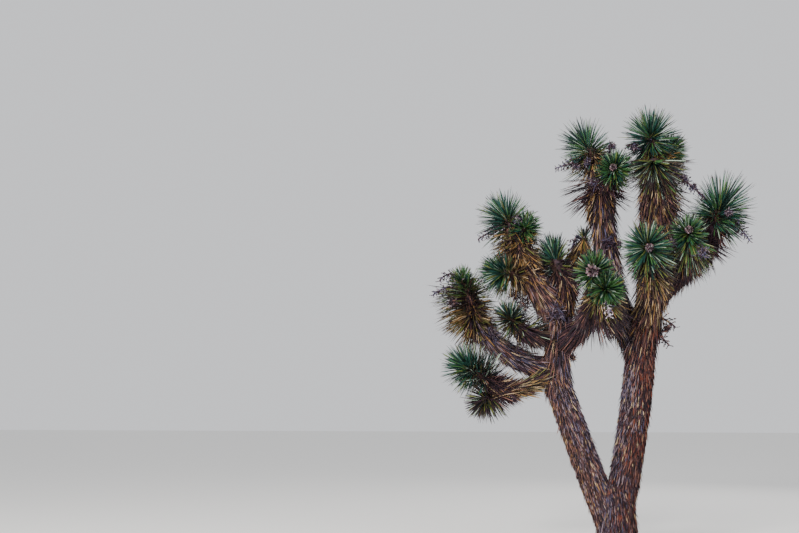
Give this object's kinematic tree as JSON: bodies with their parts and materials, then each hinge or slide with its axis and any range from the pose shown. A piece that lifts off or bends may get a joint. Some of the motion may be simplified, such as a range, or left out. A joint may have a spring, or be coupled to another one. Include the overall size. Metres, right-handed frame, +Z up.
{
  "type": "joshua tree",
  "caption": "Tree yucca with a short trunk, forked shaggy stems and boughs that end in round heads of stiff dagger leaves over skirts of dead ones.",
  "frame": {"origin": "centre of the flat cut under the trunk, at ground level", "axes": "+Z up, +X to the right of someone who faces the tree, +Y away from them, so the tree is seen along +Y"},
  "size_m": [3.3087, 1.9328, 4.4345],
  "materials": {
    "bark": "rough, furrowed and shreddy",
    "thatch": "rough, a dry coat of hanging dead leaves",
    "foliage": "satin, stiff green blades over dry ones"
  },
  "bodies": {
    "root": {"trunk": "bark", "stem_left": "bark", "stem_left_top": "bark", "stem_right": "bark", "stem_right_top": "bark", "bough_low_left": "thatch", "bough_left": "thatch", "bough_inner_left": "thatch", "bough_upper_left": "thatch", "bough_middle": "thatch", "spur_middle": "thatch", "bough_front_left": "thatch", "bough_tall_left": "thatch", "bough_tall_right": "thatch", "bough_front_right": "thatch", "bough_right": "thatch", "spur_right": "thatch", "bough_back_left": "thatch", "bough_back_low": "thatch", "bough_back_right": "thatch", "spur_back_right": "thatch", "head_low_left": "foliage", "head_low_drooping": "foliage", "head_far_left": "foliage", "head_inner_left": "foliage", "head_upper_left": "foliage", "head_upper_front": "foliage", "head_side_left": "foliage", "head_middle": "foliage", "head_middle_back": "foliage", "head_front_upper": "foliage", "head_front_lower": "foliage", "head_tall_left": "foliage", "head_tall_left_front": "foliage", "head_top": "foliage", "head_top_right": "foliage", "head_top_front": "foliage", "head_front_right": "foliage", "head_right_front": "foliage", "head_far_right": "foliage", "head_back_left": "foliage", "head_back_low": "foliage", "head_back_right": "foliage", "head_back_far_right": "foliage"}
  },
  "joints": []
}
